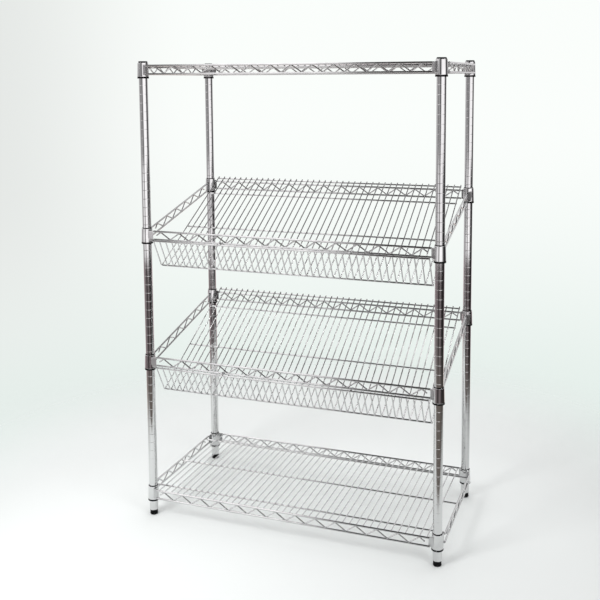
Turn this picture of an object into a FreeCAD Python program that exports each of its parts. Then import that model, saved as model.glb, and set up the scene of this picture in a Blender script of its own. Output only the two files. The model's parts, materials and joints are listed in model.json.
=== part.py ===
import FreeCAD, Part
import math
import os
import Sketcher

# Bakery rack: four grooved tube posts carry two flat wire shelves and, between them, two
# sloping wire baskets. Every shelf grips the posts through tapered collars on split sleeves.
# The origin is on the floor under the middle of the posts, +Z up, the front towards -Y.
# Lengths are millimetres and angles degrees. Shelf heights count grooves up from the floor.

Vector = FreeCAD.Vector

drivingSizes = (
    ("postSpanX", 872, "post centre to post centre, left to right"),
    ("postSpanY", 416, "post centre to post centre, front to rear"),
    ("postDiameter", 25.4, "outside of a post"),
    ("postWall", 1.5, "wall of a post"),
    ("postStandOut", 0.5, "post above the top shelf's sleeves"),
    ("groovePitch", 25.4, "groove to groove along a post"),
    ("grooveWidth", 2, "height of one groove"),
    ("grooveDepth", 0.6, "depth of one groove"),
    ("bottomStep", 2, "groove at the bottom shelf's level; its sleeves grip the next one up"),
    ("lowerStep", 18, "groove at the level of the lower basket's front"),
    ("upperStep", 33, "groove at the level of the upper basket's front"),
    ("topStep", 52, "groove at the top shelf's level"),
    ("slantSteps", 4, "grooves from a basket's front up to its rear"),
    ("footDiameter", 23.5, "levelling foot"),
    ("footHeight", 15.5, "foot under the post"),
    ("footRounding", 2, "round on the foot's lower edge"),
    ("studDiameter", 9.5, "screw of the foot"),
    ("studReach", 26, "screw above the foot"),
    ("studSeat", 8, "screw inside the foot"),
    ("bushLength", 38, "bush inside the post's lower end"),
    ("runningClearance", 0.05, "radial clearance of the moving fits"),
    ("capThickness", 1.5, "cap above the post"),
    ("capPlug", 12, "cap inside the post"),
    ("sleeveHeight", 47.5, "whole split sleeve"),
    ("sleeveDrop", 5.5, "sleeve's lower end below the shelf's level"),
    ("sleeveLip", 4.5, "sleeve showing below the collar"),
    ("sleeveGap", 1.2, "gap between the two halves of a sleeve"),
    ("ridgeWidth", 1.6, "ridge inside the sleeve, in a groove"),
    ("ridgeDepth", 0.45, "ridge inside the sleeve, in a groove"),
    ("collarHeight", 41, "collar of a shelf"),
    ("collarFoot", 33, "collar's outside at its lower end"),
    ("collarHead", 30.5, "collar's outside at its upper end"),
    ("collarWall", 1.6, "wall of a collar"),
    ("earThickness", 3, "flat ear on a collar"),
    ("earBottom", 5, "ear's lower end above the shelf's level"),
    ("earHeight", 28.6, "height of an ear"),
    ("flatEarReach", 22, "post centre to the end of a flat shelf's ear"),
    ("slantEarReach", 19, "post centre to the end of a basket's ear"),
    ("trussOffset", 16, "flat shelf's trusses outside the line of the posts"),
    ("chordDiameter", 5.6, "long wires of a truss"),
    ("chordSpacing", 24, "upper long wire to lower long wire"),
    ("chordMiddle", 19, "middle of a truss above the shelf's level"),
    ("waveDiameter", 4, "bent wire of a truss"),
    ("wavePitch", 60, "bend to bend along a truss"),
    ("waveInset", 3, "bend's centre line inside the long wire's"),
    ("waveRadius", 5, "bend of the wire, on its centre line"),
    ("wireDiameter", 3.4, "wires of the decks and baskets"),
    ("wirePitch", 20, "wire to wire"),
    ("wireInset", 25, "least distance from a post centre to the first wire"),
    ("rodDiameter", 4.8, "rods that carry the wires"),
    ("rodInset", 34, "outer rods of a flat shelf inside the line of the posts"),
    ("bendInset", 34.5, "basket's bend behind the line of the front posts"),
    ("bendDrop", 77.6, "basket's bend below the level of its front"),
    ("bendRadius", 5, "basket's bend, on the wire's centre line"),
    ("basketOverrun", 16, "basket's wires past the line of the rear posts"),
    ("lipRodForward", 14.1, "lip rod in front of the line of the front posts"),
    ("lipRodDrop", 2.1, "lip rod below the front truss's lower wire"),
    ("bendRodRun", 6.3, "bend to the lowest basket rod"),
    ("lowerRodShare", 0.421, "lower middle rod, as a share of the basket's floor"),
    ("upperRodShare", 0.806, "upper middle rod, as a share of the basket's floor"),
    ("endRodInset", 4.6, "last rod short of the wires' ends"),
    ("clipPlace", 195, "clip at the lip, from the middle of the shelf"),
    ("clipWidth", 9, "clip that joins the lip rod to the front truss"),
    ("clipThickness", 2, "clip that joins the lip rod to the front truss"),
    ("clipOverhang", 1.5, "clip past the wires it joins"),
    ("trimMargin", 10, "length left on a sloping truss before its ends are trimmed"),
)

derivedSizes = (
    ("bottomHeight", "Sizes.bottomStep * Sizes.groovePitch"),
    ("lowerHeight", "Sizes.lowerStep * Sizes.groovePitch"),
    ("upperHeight", "Sizes.upperStep * Sizes.groovePitch"),
    ("topHeight", "Sizes.topStep * Sizes.groovePitch"),
    ("slantRise", "Sizes.slantSteps * Sizes.groovePitch"),
    ("halfX", "Sizes.postSpanX / 2"),
    ("halfY", "Sizes.postSpanY / 2"),
    ("postRadius", "Sizes.postDiameter / 2"),
    ("boreRadius", "Sizes.postDiameter / 2 - Sizes.postWall"),
    ("sleeveTop", "Sizes.sleeveHeight - Sizes.sleeveDrop"),
    ("collarBottom", "Sizes.sleeveLip - Sizes.sleeveDrop"),
    ("postTop", "Derived.topHeight + Derived.sleeveTop + Sizes.postStandOut"),
    ("firstGroove", "ceil((Sizes.footHeight + Sizes.grooveWidth) / Sizes.groovePitch)"),
    ("grooveCount", "floor((Derived.postTop - Sizes.grooveWidth) / Sizes.groovePitch)"
                    " - Derived.firstGroove + 1"),
    ("bushHole", "Sizes.studDiameter / 2 + Sizes.runningClearance"),
    ("taper", "(Sizes.collarFoot - Sizes.collarHead) / 2 / Sizes.collarHeight"),
    ("seatFoot", "Sizes.collarFoot / 2 - Sizes.collarWall + Derived.taper * Sizes.sleeveLip"),
    ("seatHead", "Derived.seatFoot - Derived.taper * Sizes.sleeveHeight"),
    ("sleeveAngle", "180 - 2 * asin(Sizes.sleeveGap / Sizes.postDiameter) / 1 deg"),
    ("earRoot", "Sizes.collarHead / 2 - Sizes.collarWall / 2"),
    ("chordRadius", "Sizes.chordDiameter / 2"),
    ("rodRadius", "Sizes.rodDiameter / 2"),
    ("wireRadius", "Sizes.wireDiameter / 2"),
    ("upperChord", "Sizes.chordMiddle + Sizes.chordSpacing / 2"),
    ("lowerChord", "Sizes.chordMiddle - Sizes.chordSpacing / 2"),
    ("trussDepth", "Sizes.chordSpacing + Sizes.chordDiameter"),
    ("waveApex", "Sizes.chordSpacing / 2 - Sizes.waveInset"),
    ("deckRodHeight", "Derived.upperChord - Derived.chordRadius - Derived.rodRadius"),
    ("deckWireHeight", "Derived.deckRodHeight + Derived.rodRadius + Derived.wireRadius"),
    ("wireCount", "floor((Sizes.postSpanX - 2 * Sizes.wireInset) / Sizes.wirePitch) + 1"),
    ("matWidth", "(Derived.wireCount - 1) * Sizes.wirePitch + Sizes.wireDiameter"),
    ("slantAngle", "atan2(Derived.slantRise; Sizes.postSpanY) / 1 deg"),
    ("rearDepth", "Sizes.postSpanY - Sizes.bendInset"),
    ("rearRise", "Derived.slantRise + Derived.upperChord + Sizes.bendDrop"),
    ("rearReach", "sqrt(Derived.rearDepth ^ 2 + Derived.rearRise ^ 2)"),
    ("floorTilt", "atan2(Derived.rearRise; Derived.rearDepth) / 1 deg"
                  " + asin((Derived.chordRadius + Derived.wireRadius) / Derived.rearReach) / 1 deg"),
    ("floorLength", "(Derived.rearDepth + Sizes.basketOverrun) / cos(Derived.floorTilt * 1 deg)"),
    ("wireToRod", "Derived.wireRadius + Derived.rodRadius"),
    ("lipDepth", "Sizes.lipRodForward + Sizes.bendInset"),
    ("lipRise", "Derived.lowerChord - Sizes.lipRodDrop + Sizes.bendDrop"),
    ("lipLength", "sqrt(Derived.lipDepth ^ 2 + Derived.lipRise ^ 2 - Derived.wireToRod ^ 2)"),
    ("lipAngle", "180 - atan2(Derived.lipRise; Derived.lipDepth) / 1 deg"
                 " - atan2(Derived.wireToRod; Derived.lipLength) / 1 deg - Derived.floorTilt"),
    ("clipRun", "sqrt(Sizes.lipRodForward ^ 2 + Sizes.lipRodDrop ^ 2"
                " - (Derived.chordRadius - Derived.rodRadius) ^ 2)"),
    ("clipTilt", "atan2(Sizes.lipRodDrop; Sizes.lipRodForward) / 1 deg"
                 " + atan2(Derived.chordRadius - Derived.rodRadius; Derived.clipRun) / 1 deg"),
)

doc = FreeCAD.newDocument("BakeryRack")


def makeSheet():
    """The driving dimensions, one row each: name, value and what it measures."""
    sheet = doc.addObject("Spreadsheet::Sheet", "Sizes")
    for row, (alias, value, note) in enumerate(drivingSizes, start=1):
        sheet.set(f"A{row}", alias)
        sheet.set(f"B{row}", str(value))
        sheet.set(f"C{row}", note)
        sheet.setAlias(f"B{row}", alias)


def makeDerived():
    """What follows from the driving dimensions."""
    derived = doc.addObject("App::VarSet", "Derived")
    for name, formula in derivedSizes:
        derived.addProperty("App::PropertyFloat", name, "Derived")
        derived.setExpression(name, formula)


def amount(formula):
    """The present value of a formula."""
    result = doc.Sizes.evalExpression(formula)
    return float(getattr(result, "Value", result))


def bindAll(target, **formulas):
    """Ties properties to formulas; a double underscore in a name stands for a dot."""
    for name, formula in formulas.items():
        target.setExpression(name.replace("__", "."), formula)


def place(target, x="0", y="0", z="0", tilt="0"):
    """Puts an object at x, y, z, turned by tilt about the X direction."""
    turn = FreeCAD.Rotation(Vector(1, 0, 0), amount(tilt))
    target.Placement = FreeCAD.Placement(Vector(amount(x), amount(y), amount(z)), turn)
    bindAll(target, Placement__Base__x=x, Placement__Base__y=y, Placement__Base__z=z)
    if tilt != "0":
        target.setExpression("Placement.Rotation.Angle", tilt)


def makeBody(name):
    body = doc.addObject("PartDesign::Body", name)
    body.AllowCompound = True
    return body


def originPart(body, role):
    """One of a body's own planes or axes."""
    return next(part for part in body.Origin.OriginFeatures if part.Role == role)


def addSketch(body, name, plane, offset="0"):
    sketch = body.newObject("Sketcher::SketchObject", name)
    sketch.AttachmentSupport = (originPart(body, plane), [""])
    sketch.MapMode = "FlatFace"
    sketch.setExpression("AttachmentOffset.Base.z", offset)
    return sketch


def pinPoint(sketch, tag, item, end, x, y):
    """Fixes one point of the sketch's geometry at x, y."""
    for kind, axis, formula in (("DistanceX", -2, x), ("DistanceY", -1, y)):
        if formula == "0":
            sketch.addConstraint(Sketcher.Constraint("PointOnObject", item, end, axis))
            continue
        bindLength(sketch, tag + kind[-1], formula, kind, -1, 1, item, end)


def bindLength(sketch, name, formula, kind, *where):
    """A dimension that follows a formula."""
    index = sketch.addConstraint(Sketcher.Constraint(kind, *where, amount(formula)))
    sketch.renameConstraint(index, name)
    sketch.setExpression("Constraints." + name, formula)


def drawCircle(sketch, tag, x, y, diameter):
    middle = Vector(amount(x), amount(y), 0)
    item = sketch.addGeometry(Part.Circle(middle, Vector(0, 0, 1), amount(diameter) / 2))
    pinPoint(sketch, tag, item, 3, x, y)
    bindLength(sketch, tag + "Size", diameter, "Diameter", item)


def drawPolygon(sketch, points):
    """A closed outline whose corners are pairs of formulas."""
    corners = [Vector(amount(x), amount(y), 0) for x, y in points]
    for start, end in zip(corners, corners[1:] + corners[:1]):
        sketch.addGeometry(Part.LineSegment(start, end))
    for item, (x, y) in enumerate(points):
        previous = (item - 1) % len(points)
        sketch.addConstraint(Sketcher.Constraint("Coincident", item, 1, previous, 2))
        pinPoint(sketch, f"corner{item}", item, 1, x, y)


def revolve(body, name, points, angle="360", kind="PartDesign::Revolution"):
    """Turns an outline of radius and height about the body's Z axis."""
    sketch = addSketch(body, name + "Outline", "XZ_Plane")
    drawPolygon(sketch, points)
    feature = body.newObject(kind, name)
    feature.Profile = sketch
    feature.ReferenceAxis = (originPart(body, "Z_Axis"), [""])
    feature.Midplane = True
    feature.setExpression("Angle", angle)
    return feature


def pad(body, name, sketch, length):
    """A straight bar, half to each side of its sketch."""
    feature = body.newObject("PartDesign::Pad", name)
    feature.Profile = sketch
    feature.SideType = "Symmetric"
    feature.setExpression("Length", length)
    return feature


def pipe(body, name, profile, path):
    feature = body.newObject("PartDesign::AdditivePipe", name)
    feature.Profile = profile
    feature.Spine = (path, [])
    return feature


def repeat(body, name, feature, axis, spacing, count):
    """Copies of a feature in a row."""
    pattern = body.newObject("PartDesign::LinearPattern", name)
    pattern.Originals = [feature]
    pattern.Direction = (originPart(body, axis), [""])
    pattern.Mode = "Spacing"
    bindAll(pattern, Offset=spacing, Occurrences=count)
    body.Tip = pattern


# ---- posts, caps, bushes and feet, each standing on its own axis ----

def makePost():
    body = makeBody("Post")
    outside, inside = "Derived.postRadius", "Derived.boreRadius"
    low, high = "Sizes.footHeight", "Derived.postTop"
    revolve(body, "Tube", ((inside, low), (outside, low), (outside, high), (inside, high)))
    middle = "Derived.firstGroove * Sizes.groovePitch"
    floor = "Derived.postRadius - Sizes.grooveDepth"
    clear = "Derived.postRadius + Sizes.grooveDepth"
    low, high = f"{middle} - Sizes.grooveWidth / 2", f"{middle} + Sizes.grooveWidth / 2"
    cut = revolve(body, "Groove", ((floor, low), (clear, low), (clear, high), (floor, high)),
                  kind="PartDesign::Groove")
    repeat(body, "Grooves", cut, "Z_Axis", "Sizes.groovePitch", "Derived.grooveCount")
    return body


def makeCap():
    body = makeBody("Cap")
    plug, rim = "Derived.boreRadius", "Derived.postRadius"
    low, seat = "Derived.postTop - Sizes.capPlug", "Derived.postTop"
    top = "Derived.postTop + Sizes.capThickness"
    revolve(body, "CapSolid", (
        ("0", low), (plug, low), (plug, seat), (rim, seat), (rim, top), ("0", top)))
    return body


def makeBush():
    body = makeBody("Bush")
    hole, outside = "Derived.bushHole", "Derived.boreRadius"
    low, high = "Sizes.footHeight", "Sizes.footHeight + Sizes.bushLength"
    revolve(body, "BushRing", ((hole, low), (outside, low), (outside, high), (hole, high)))
    return body


def makeFoot():
    body = makeBody("Foot")
    hole, outside = "Sizes.studDiameter / 2", "Sizes.footDiameter / 2"
    seat, top = "Sizes.footHeight - Sizes.studSeat", "Sizes.footHeight"
    revolve(body, "FootSolid", (
        ("0", "0"), (outside, "0"), (outside, top), (hole, top), (hole, seat), ("0", seat)))
    doc.recompute()
    rim = [f"Edge{number}" for number, edge in enumerate(body.Shape.Edges, start=1)
           if edge.BoundBox.ZMax < 1e-6 and isinstance(edge.Curve, Part.Circle)]
    rounding = body.newObject("PartDesign::Fillet", "FootRounding")
    rounding.Base = (body.Tip if body.Tip != rounding else rounding.BaseFeature, rim)
    rounding.setExpression("Radius", "Sizes.footRounding")
    body.Tip = rounding
    return body


def makeStud():
    stud = doc.addObject("Part::Cylinder", "Stud")
    bindAll(stud, Radius="Sizes.studDiameter / 2", Height="Sizes.studSeat + Sizes.studReach")
    place(stud, z="Sizes.footHeight - Sizes.studSeat")
    return stud


# ---- sleeves and collars, from the shelf's level up and down ----

def makeSleeve():
    """Two half shells, tapered outside, with a ridge that lies in a groove of the post."""
    body = makeBody("Sleeve")
    bore, ridge = "Derived.postRadius", "Derived.postRadius - Sizes.ridgeDepth"
    low, high = "Sizes.groovePitch - Sizes.ridgeWidth / 2", "Sizes.groovePitch + Sizes.ridgeWidth / 2"
    foot = "Derived.seatFoot - Sizes.runningClearance"
    head = "Derived.seatHead - Sizes.runningClearance"
    bottom, top = "-Sizes.sleeveDrop", "Derived.sleeveTop"
    half = revolve(body, "HalfSleeve", (
        (bore, bottom), (foot, bottom), (head, top), (bore, top),
        (bore, high), (ridge, high), (ridge, low), (bore, low)), angle="Derived.sleeveAngle")
    pair = body.newObject("PartDesign::PolarPattern", "Halves")
    pair.Originals = [half]
    pair.Axis = (originPart(body, "Z_Axis"), [""])
    pair.Occurrences = 2
    body.Tip = pair
    return body


def addBox(name, length, width, height, **where):
    box = doc.addObject("Part::Box", name)
    bindAll(box, Length=length, Width=width, Height=height)
    place(box, **where)
    return box


def makeCollar(name, ears):
    """A tapered ring with flat ears; each ear is the formulas of its box."""
    ring = doc.addObject("Part::Cone", name + "Ring")
    bindAll(ring, Radius1="Sizes.collarFoot / 2", Radius2="Sizes.collarHead / 2",
            Height="Sizes.collarHeight")
    place(ring, z="Derived.collarBottom")
    parts = [addBox(f"{name}Ear{number}", **ear) for number, ear in enumerate(ears, start=1)]
    solid = doc.addObject("Part::MultiFuse", name + "Solid")
    solid.Shapes = [ring] + parts
    bore = doc.addObject("Part::Cone", name + "Bore")
    bindAll(bore, Radius1="Derived.seatFoot", Radius2="Derived.seatHead", Height="Sizes.sleeveHeight")
    place(bore, z="-Sizes.sleeveDrop")
    collar = doc.addObject("Part::Cut", name)
    collar.Base = solid
    collar.Tool = bore
    return collar


def earBox(along, side, reach, offset="0", lift="0"):
    """An ear that runs from the collar along X or Y, towards side (+1 or -1), its plane at offset."""
    root = "0" if offset != "0" else "Derived.earRoot"
    length = f"({reach} - {root})"
    start = root if side > 0 else f"-({reach})"
    across = f"{offset} - Sizes.earThickness / 2"
    upright = dict(height="Sizes.earHeight", z=f"Sizes.earBottom + {lift}")
    if along == "X":
        return dict(length=length, width="Sizes.earThickness", x=start, y=across, **upright)
    return dict(length="Sizes.earThickness", width=length, x=across, y=start, **upright)


def signed(side, formula):
    return formula if side > 0 else f"-({formula})"


corners = (("front_left", -1, -1), ("front_right", 1, -1), ("rear_left", -1, 1), ("rear_right", 1, 1))


def makeCornerSet(name, chooseMaster, rearLift="0", chosen=corners):
    """One piece at each chosen post, the rear ones raised by rearLift, gathered in a compound."""
    links = []
    for corner, sideX, sideY in chosen:
        link = doc.addObject("App::Link", f"{name}_{corner}")
        link.LinkedObject = chooseMaster(corner)
        x, y = signed(sideX, "Derived.halfX"), signed(sideY, "Derived.halfY")
        place(link, x, y, rearLift if sideY > 0 else "0")
        links.append(link)
    gathered = doc.addObject("Part::Compound", name)
    gathered.Links = links
    return gathered


def makeFlatCollars():
    """Ears of a flat shelf lie outside the line of the posts, in the planes of its trusses."""
    masters = {}
    for corner, sideX, sideY in corners:
        reach = "Sizes.flatEarReach"
        ears = (earBox("X", -sideX, reach, offset=signed(sideY, "Sizes.trussOffset")),
                earBox("Y", -sideY, reach, offset=signed(sideX, "Sizes.trussOffset")))
        masters[corner] = makeCollar(f"FlatCollar_{corner}", ears)
    return makeCornerSet("FlatCollars", masters.get)


def makeSlantCollars():
    """Ears of a basket point at the next post, and the side ones follow the slope."""
    masters = {}
    for corner, sideX, sideY in corners:
        reach = "Sizes.slantEarReach"
        rise = signed(-sideY, f"({reach} * tan(Derived.slantAngle * 1 deg))")
        ears = (earBox("X", -sideX, reach), earBox("Y", -sideY, reach, lift=rise))
        masters[corner] = makeCollar(f"SlantCollar_{corner}", ears)
    return makeCornerSet("SlantCollars", masters.get, rearLift="Derived.slantRise")


# ---- trusses, centred on their own middle, running along X or Y ----

def bendPoints(middle, side, radius, run, rise):
    """Where the straight wire leaves a bend: run and rise lead from its centre to the next one's."""
    slope = math.atan2(rise, run) + math.asin(2 * radius / math.hypot(run, rise))
    tangent = middle + Vector(side * radius * math.sin(slope), -radius * math.cos(slope), 0)
    return tangent, slope


def addBend(sketch, middle, start, end, radius):
    """An arc from start to end, anticlockwise, about middle."""
    angles = [math.atan2(point.y - middle.y, point.x - middle.x) for point in (start, end)]
    if angles[1] < angles[0]:
        angles[1] += 2 * math.pi
    circle = Part.Circle(middle, Vector(0, 0, 1), radius)
    return sketch.addGeometry(Part.ArcOfCircle(circle, *angles))


def joinTangent(sketch, first, firstEnd, second, secondEnd):
    sketch.addConstraint(Sketcher.Constraint("Tangent", first, firstEnd, second, secondEnd))


def drawWave(sketch, middle):
    """One period of the bent wire: half a top bend, down, a bottom bend, up, half a top bend."""
    x, apex = amount(middle), amount("Derived.waveApex")
    half, radius = amount("Sizes.wavePitch / 2"), amount("Sizes.waveRadius")
    bottom = Vector(x, radius - apex, 0)
    left, right = Vector(x - half, apex - radius, 0), Vector(x + half, apex - radius, 0)
    foot, slope = bendPoints(bottom, 1, radius, half, 2 * (apex - radius))
    footLeft = Vector(2 * x - foot.x, foot.y, 0)
    head = right + Vector(-radius * math.sin(slope), radius * math.cos(slope), 0)
    headLeft = Vector(2 * x - head.x, head.y, 0)
    firstTop = addBend(sketch, left, headLeft, left + Vector(0, radius, 0), radius)
    down = sketch.addGeometry(Part.LineSegment(headLeft, footLeft))
    turn = addBend(sketch, bottom, footLeft, foot, radius)
    up = sketch.addGeometry(Part.LineSegment(foot, head))
    lastTop = addBend(sketch, right, right + Vector(0, radius, 0), head, radius)
    joinTangent(sketch, firstTop, 1, down, 1)
    joinTangent(sketch, down, 2, turn, 1)
    joinTangent(sketch, turn, 2, up, 1)
    joinTangent(sketch, up, 2, lastTop, 2)
    for number, item in enumerate((firstTop, turn, lastTop)):
        bindLength(sketch, f"bend{number}", "Sizes.waveRadius", "Radius", item)
    pinPoint(sketch, "start", firstTop, 2, f"{middle} - Sizes.wavePitch / 2", "Derived.waveApex")
    pinPoint(sketch, "low", turn, 3, middle, "Sizes.waveRadius - Derived.waveApex")
    pinPoint(sketch, "finish", lastTop, 1, f"{middle} + Sizes.wavePitch / 2", "Derived.waveApex")
    sketch.addConstraint(Sketcher.Constraint("Vertical", firstTop, 2, firstTop, 3))
    sketch.addConstraint(Sketcher.Constraint("Vertical", lastTop, 1, lastTop, 3))


def drawTail(sketch, last):
    """The wire's end: half a top bend and half a straight run."""
    x, apex = amount(last), amount("Derived.waveApex")
    half, radius = amount("Sizes.wavePitch / 2"), amount("Sizes.waveRadius")
    middle = Vector(x, apex - radius, 0)
    slope = bendPoints(middle, 1, radius, half, 2 * (apex - radius))[1]
    head = middle + Vector(radius * math.sin(slope), radius * math.cos(slope), 0)
    top = addBend(sketch, middle, head, middle + Vector(0, radius, 0), radius)
    down = sketch.addGeometry(Part.LineSegment(head, Vector(x + half / 2, 0, 0)))
    joinTangent(sketch, top, 1, down, 1)
    bindLength(sketch, "bend", "Sizes.waveRadius", "Radius", top)
    pinPoint(sketch, "start", top, 2, last, "Derived.waveApex")
    pinPoint(sketch, "finish", down, 2, f"{last} + Sizes.wavePitch / 4", "0")
    sketch.addConstraint(Sketcher.Constraint("Vertical", top, 2, top, 3))


def makeTruss(name, along, run, length):
    """Two long wires joined by a bent one; run is the length that the bends share out."""
    body = makeBody(name)
    acrossPlane, pathPlane = ("YZ_Plane", "XZ_Plane") if along == "X" else ("XZ_Plane", "YZ_Plane")
    offsetSign = 1 if along == "X" else -1
    axis = along + "_Axis"
    count = f"floor(({run}) / Sizes.wavePitch - 0.5)"
    first = f"-(({count}) - 1) * Sizes.wavePitch / 2"
    last = f"({count}) * Sizes.wavePitch / 2"

    chords = addSketch(body, "ChordEnds", acrossPlane)
    for tag, height in (("upper", "Sizes.chordSpacing / 2"), ("lower", "-Sizes.chordSpacing / 2")):
        drawCircle(chords, tag, "0", height, "Sizes.chordDiameter")
    pad(body, "Chords", chords, length)

    path = addSketch(body, "WavePath", pathPlane)
    drawWave(path, first)
    start = signed(offsetSign, f"{first} - Sizes.wavePitch / 2")
    end = addSketch(body, "WaveEnd", acrossPlane, start)
    drawCircle(end, "wire", "0", "Derived.waveApex", "Sizes.waveDiameter")
    repeat(body, "Waves", pipe(body, "Wave", end, path), axis, "Sizes.wavePitch", count)

    path = addSketch(body, "TailPath", pathPlane)
    drawTail(path, last)
    end = addSketch(body, "TailEnd", acrossPlane, signed(offsetSign, last))
    drawCircle(end, "wire", "0", "Derived.waveApex", "Sizes.waveDiameter")
    tail = pipe(body, "Tail", end, path)
    mirrored = body.newObject("PartDesign::Mirrored", "Tails")
    mirrored.Originals = [tail]
    mirrored.MirrorPlane = (originPart(body, acrossPlane), [""])
    body.Tip = mirrored
    return body


def makeSlantSideTruss():
    """The sloping side truss, its ends cut upright where they meet the collars' ears."""
    span = "(Sizes.postSpanY - 2 * Sizes.slantEarReach)"
    slope = "cos(Derived.slantAngle * 1 deg)"
    run = f"{span} / {slope}"
    body = makeTruss("SlantSideTrussUncut", "Y", run, f"{run} + Sizes.trimMargin")
    place(body, tilt="Derived.slantAngle")
    height = "(Derived.slantRise + 2 * Derived.trussDepth)"
    trim = addBox("SlantSideTrim", "Derived.trussDepth", span, height,
                  x="-Derived.trussDepth / 2", y=f"-{span} / 2", z=f"-{height} / 2")
    truss = doc.addObject("Part::Common", "SlantSideTruss")
    truss.Base = body
    truss.Tool = trim
    return truss


# ---- flat decks, from the shelf's level up ----

def makeDeckWires():
    """Wires that lie on the rods and butt against the front and rear trusses."""
    body = makeBody("DeckWires")
    ends = addSketch(body, "WireEnds", "XZ_Plane")
    first = "-(Derived.wireCount - 1) * Sizes.wirePitch / 2"
    drawCircle(ends, "wire", first, "Derived.deckWireHeight", "Sizes.wireDiameter")
    wire = pad(body, "Wire", ends, "Sizes.postSpanY + 2 * Sizes.trussOffset - Sizes.chordDiameter")
    repeat(body, "Wires", wire, "X_Axis", "Sizes.wirePitch", "Derived.wireCount")
    return body


def makeDeckRods():
    """Three rods under the wires, their ends under the side trusses' upper wires."""
    body = makeBody("DeckRods")
    ends = addSketch(body, "RodEnds", "YZ_Plane")
    for tag, y in (("front", "Sizes.rodInset - Derived.halfY"), ("middle", "0"),
                   ("rear", "Derived.halfY - Sizes.rodInset")):
        drawCircle(ends, tag, y, "Derived.deckRodHeight", "Sizes.rodDiameter")
    pad(body, "Rods", ends, "Sizes.postSpanX + 2 * Sizes.trussOffset")
    return body


# ---- baskets, from the level of their front up ----
# A basket's own Y runs up its floor from the bend, and its own Z stands off the floor.

def placeInBasket(target):
    place(target, y="Sizes.bendInset - Derived.halfY", z="-Sizes.bendDrop", tilt="Derived.floorTilt")


lipCos = "cos(Derived.lipAngle * 1 deg)"
lipSin = "sin(Derived.lipAngle * 1 deg)"


def makeBasketWires():
    """Wires that run down the floor, round the bend and up the lip."""
    body = makeBody("BasketWires")
    first = "-(Derived.wireCount - 1) * Sizes.wirePitch / 2"
    path = addSketch(body, "WirePath", "YZ_Plane", first)
    angle, radius = math.radians(amount("Derived.lipAngle")), amount("Sizes.bendRadius")
    run = radius / math.tan(angle / 2)
    direction = Vector(math.cos(angle), math.sin(angle), 0)
    tip = Vector(amount("Derived.floorLength"), 0, 0)
    floor = path.addGeometry(Part.LineSegment(tip, Vector(run, 0, 0)))
    middle = Vector(run, radius, 0)
    bend = addBend(path, middle, direction * run, Vector(run, 0, 0), radius)
    lip = path.addGeometry(Part.LineSegment(direction * run, direction * amount("Derived.lipLength")))
    joinTangent(path, floor, 2, bend, 2)
    joinTangent(path, bend, 1, lip, 1)
    bindLength(path, "bend", "Sizes.bendRadius", "Radius", bend)
    pinPoint(path, "tip", floor, 1, "Derived.floorLength", "0")
    pinPoint(path, "lip", lip, 2, f"Derived.lipLength * {lipCos}", f"Derived.lipLength * {lipSin}")
    path.addConstraint(Sketcher.Constraint("Horizontal", floor))
    path.addConstraint(Sketcher.Constraint("PointOnObject", -1, 1, lip))
    end = addSketch(body, "WireEnd", "XZ_Plane", "-Derived.floorLength")
    drawCircle(end, "wire", first, "0", "Sizes.wireDiameter")
    wire = pipe(body, "Wire", end, path)
    repeat(body, "Wires", wire, "X_Axis", "Sizes.wirePitch", "Derived.wireCount")
    return body


def makeBasketParts():
    """The bent wires, as the part on the floor's side of the bend and the part on the lip's side."""
    wires = makeBasketWires()
    reach = "(Derived.floorLength + Derived.lipLength)"
    tilt = "Derived.lipAngle / 2"
    floorSide = addBox("FloorSide", f"2 * {reach}", reach, reach, x=f"-{reach}", tilt=tilt,
                       y=f"{reach} * sin({tilt} * 1 deg)", z=f"-{reach} * cos({tilt} * 1 deg)")
    floor = doc.addObject("Part::Common", "BasketFloorFlat")
    lip = doc.addObject("Part::Cut", "BasketLipFlat")
    for piece in (floor, lip):
        piece.Base = wires
        piece.Tool = floorSide
        placeInBasket(piece)
    return floor, lip


def makeBasketRods():
    """Rods under the floor: at the bend, two on the way up, and one near the wires' ends."""
    body = makeBody("BasketRods")
    ends = addSketch(body, "RodEnds", "YZ_Plane")
    for tag, y in (("bend", "Sizes.bendRodRun"),
                   ("lower", "Sizes.lowerRodShare * Derived.floorLength"),
                   ("upper", "Sizes.upperRodShare * Derived.floorLength"),
                   ("top", "Derived.floorLength - Sizes.endRodInset")):
        drawCircle(ends, tag, y, "-Derived.wireToRod", "Sizes.rodDiameter")
    pad(body, "Rods", ends, "Derived.matWidth")
    placeInBasket(body)
    return body


def makeLipRod():
    """The rod along the lip's upper edge, outside the wires."""
    rod = doc.addObject("Part::Cylinder", "LipRod")
    bindAll(rod, Radius="Derived.rodRadius", Height="Derived.matWidth")
    rod.Placement.Rotation = FreeCAD.Rotation(Vector(0, 1, 0), 90)
    bindAll(rod, Placement__Base__x="-Derived.matWidth / 2",
            Placement__Base__y="-Derived.halfY - Sizes.lipRodForward",
            Placement__Base__z="Derived.lowerChord - Sizes.lipRodDrop")
    return rod


def makeClips():
    """Two flat clips across the front truss's lower wire and the lip rod."""
    run = "(Derived.clipRun + Sizes.clipOverhang)"
    turn = "(Derived.clipTilt * 1 deg)"
    right = addBox("RightClip", "Sizes.clipWidth", f"{run} + Sizes.clipOverhang", "Sizes.clipThickness",
                   x="Sizes.clipPlace - Sizes.clipWidth / 2",
                   y=f"-Derived.halfY - Derived.chordRadius * sin{turn} - {run} * cos{turn}",
                   z=f"Derived.lowerChord + Derived.chordRadius * cos{turn} - {run} * sin{turn}",
                   tilt="Derived.clipTilt")
    left = doc.addObject("Part::Mirroring", "LeftClip")
    left.Source = right
    left.Normal = Vector(1, 0, 0)
    clips = doc.addObject("Part::Compound", "Clips")
    clips.Links = [left, right]
    return clips


# ---- the sub-parts, each a placed copy of its master ----

subparts = []


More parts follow.
